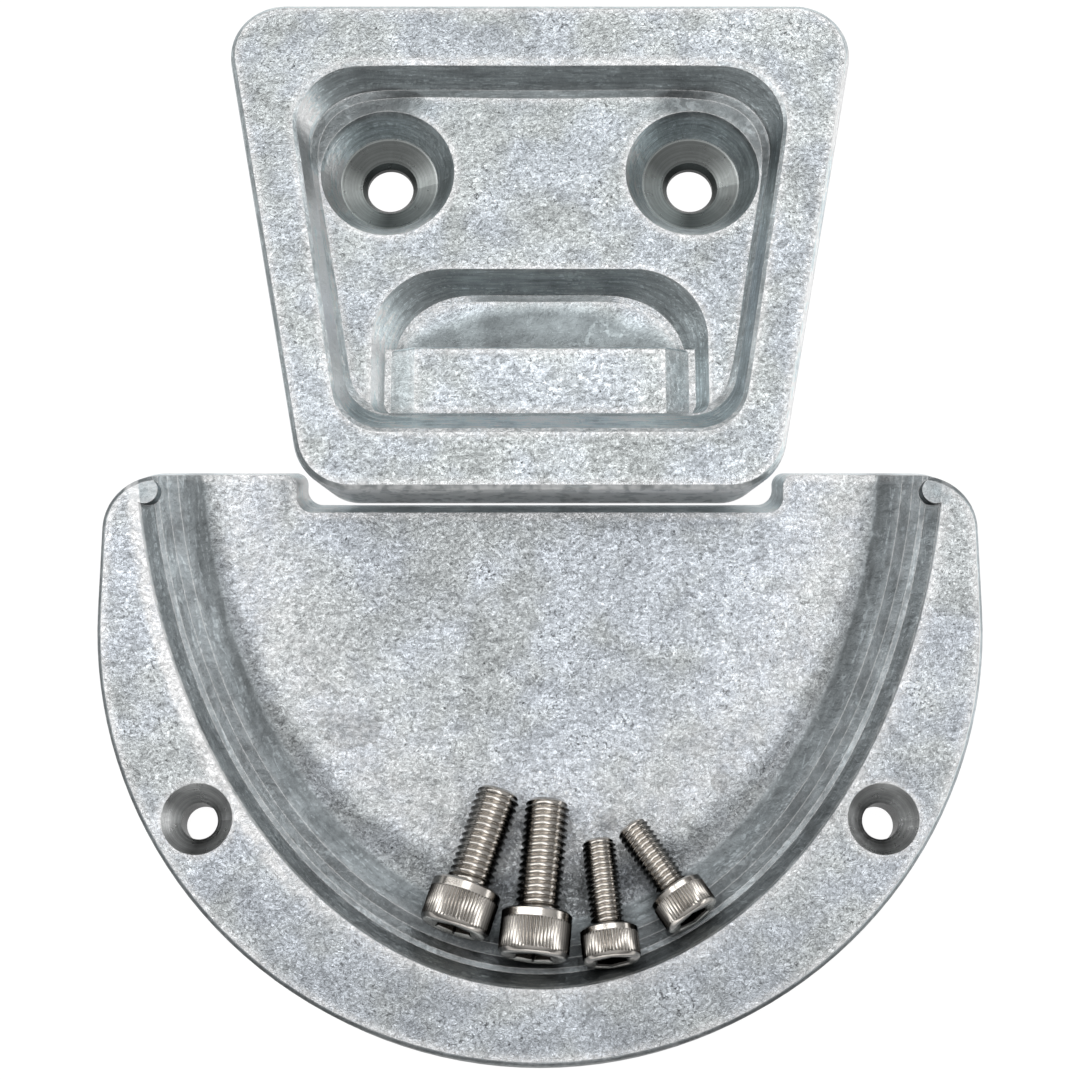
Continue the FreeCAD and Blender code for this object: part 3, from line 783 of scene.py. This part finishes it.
def steel_group():
    """Bright rolled stainless, a little darker in its grooves, with painted shade on its underside
    and in nooks.
    """
    group, given, result = shader_group(
        "rolled_steel", [("Tone", "NodeSocketColor", (0.6, 0.58, 0.55, 1)),
                         ("Shelter", "NodeSocketFloat", 1.0)],
        [("Color", "NodeSocketColor"), ("Roughness", "NodeSocketFloat"),
         ("Height", "NodeSocketFloat")])
    place = in_millimetres(group)
    film = noise(group, place, scale=0.6, detail=3, roughness=0.6)
    fine = noise(group, place, scale=6.0, detail=3, roughness=0.6)
    sunk = node(group, "ShaderNodeAttribute", attribute_name="sunk").outputs["Fac"]
    upward = node(group, "ShaderNodeAttribute", attribute_name="upward").outputs["Fac"]
    # Painted shade: darker on the screw's underside and where the ambient occlusion is low
    below = inverted(group, fade(group, upward, 0.35, 0.86))
    open_air = fade(group, given["Shelter"], 0.05, 0.6)
    shade = product(group, weighted(group, film, 0.4, 0.8), weighted(group, fine, 0.3, 0.85),
                    weighted(group, fade(group, sunk, 0.1, 0.6), -0.14),
                    weighted(group, below, -0.88), weighted(group, open_air, 0.5, 0.5))
    group.links.new(scaled(group, given["Tone"], shade), result.inputs["Color"])
    group.links.new(weighted(group, film, 0.16, 0.10), result.inputs["Roughness"])
    group.links.new(product(group, fine, 0.01), result.inputs["Height"])
    return group


steel = metal_material("screw_steel", steel_group(), {"Tone": steel_tone}, edge_radius=0.12)
thread = thread_tree()
knurl = knurl_tree()

for side in ("left", "right"):
    for kind, size in (("large", large_size), ("small", small_size)):
        name = "cap_screw_" + kind + "_" + side
        lie, full_length = lie_of(name)
        length = full_length - size["head_height"]
        blank = carrier_of(bpy.data.meshes.new("thread_blank"))
        shank = grown(blank, thread, {
            "Radius": size["thread_d"] / 2, "Pitch": size["pitch"],
            "Length": length + thread_into_head, "Depth": size["pitch"] * thread_depth_pitches,
            "Tip": size["pitch"] * thread_tip_pitches, "Steel": steel})
        bare = carrier_of(head_mesh(size))
        head = grown(bare, knurl, {"Ridges": float(size["ridges"]), "Depth": knurl_depth,
                                   "Steel": steel})
        head.transform(Matrix.Translation((0, 0, length)))
        whole = bmesh.new()
        whole.from_mesh(shank)
        whole.from_mesh(head)
        bmesh.ops.recalc_face_normals(whole, faces=whole.faces)
        whole.transform(lie)
        mesh = bpy.data.meshes.new(name + "_steel")
        whole.to_mesh(mesh)
        whole.free()
        mark_upward(mesh, lie, full_length, size["thread_d"])
        mesh.shade_smooth()
        mesh.set_sharp_from_angle(angle=sharp_angle)
        mesh.materials.clear()
        mesh.materials.append(steel)
        screw = carrier_of(mesh)
        bpy.data.objects.remove(blank)
        bpy.data.objects.remove(bare)
        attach(screw, "root")
        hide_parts(name)


# Floor
# A plain white table that fills the view. The camera and the metal see it white, and it
# keeps the shadow of the castings.

reach = 3.0
glow_strength = 1.12
seen_share = 0.88             # of the glow, for the camera
mirrored_share = 0.3          # and in the metal's reflections

floor_mesh = bpy.data.meshes.new("floor")
floor_mesh.from_pydata([(-reach, -reach, 0), (reach, -reach, 0), (reach, reach, 0),
                        (-reach, reach, 0)], [], [(0, 1, 2, 3)])
floor = carrier_of(floor_mesh)
white = bpy.data.materials.new("white_table")
white.use_nodes = True
white.cycles.emission_sampling = "NONE"
tree = white.node_tree
matt = tree.nodes["Principled BSDF"]
matt.inputs["Base Color"].default_value = (0.86, 0.86, 0.86, 1)
matt.inputs["Roughness"].default_value = 0.9
glow = node(tree, "ShaderNodeEmission", {"Color": (1, 1, 1, 1), "Strength": glow_strength})
rays = node(tree, "ShaderNodeLightPath").outputs
seen = calc(tree, "MAXIMUM", rays["Is Camera Ray"], rays["Is Transmission Ray"])
share = calc(tree, "MAXIMUM", product(tree, seen, seen_share),
             product(tree, rays["Is Glossy Ray"], mirrored_share))
both = node(tree, "ShaderNodeMixShader", {0: share, 1: matt.outputs[0], 2: glow.outputs[0]})
tree.links.new(both.outputs[0], tree.nodes["Material Output"].inputs["Surface"])
floor_mesh.materials.append(white)


# Light
# A wide soft lamp overhead, a little behind the block, a narrow one to the left, and two
# weak ones low at the right and at the round end, in a room that is grey towards the horizon.


def lamp(name, place, aim, width, depth, power):
    """A rectangular lamp at a place, turned to the point that it lights."""
    data = bpy.data.lights.new(name, "AREA")
    data.shape = "RECTANGLE"
    data.size = width
    data.size_y = depth
    data.energy = power
    made = bpy.data.objects.new(name, data)
    made.location = place
    made.rotation_mode = "QUATERNION"
    made.rotation_quaternion = (Vector(aim) - Vector(place)).to_track_quat("-Z", "Y")
    bpy.context.scene.collection.objects.link(made)


lamp("overhead", (0.14, 0.29, 0.62), (0.05, 0.18, 0), width=0.26, depth=0.72, power=1.25)
lamp("left_strip", (-0.36, 0.14, 0.44), (0, 0.02, 0), width=0.12, depth=0.70, power=0.72)
lamp("right_low", (0.60, 0.02, 0.13), (0, 0, 0), width=0.60, depth=0.12, power=0.42)
lamp("front_low", (0, -0.70, 0.07), (0, 0, 0.015), width=0.50, depth=0.06, power=0.28)

horizon_level = 0.12
zenith_level = 0.54
world = bpy.data.worlds.new("room")
bpy.context.scene.world = world
world.use_nodes = True
tree = world.node_tree
sky = tree.nodes["Background"]
up = axes(tree, node(tree, "ShaderNodeTexCoord").outputs["Generated"])[2]
level = weighted(tree, fade(tree, up, 0.1, 0.9), zenith_level - horizon_level, horizon_level)
seen = node(tree, "ShaderNodeLightPath").outputs["Is Camera Ray"]
tree.links.new(mixed(tree, seen, level, 1.0), sky.inputs["Strength"])
sky.inputs["Color"].default_value = (1, 1, 1, 1)


# Camera
# A short telephoto that looks down on the set from its round end.

view_angle = math.radians(14)
camera_data = bpy.data.cameras.new("camera")
camera_data.sensor_width = 36.0
camera_data.lens = 68.57
camera = bpy.data.objects.new("camera", camera_data)
camera.location = (0, -0.0980, 0.3787)
camera.rotation_euler = (view_angle, 0, 0)
bpy.context.scene.collection.objects.link(camera)
bpy.context.scene.camera = camera
bpy.context.scene.view_settings.view_transform = "Standard"
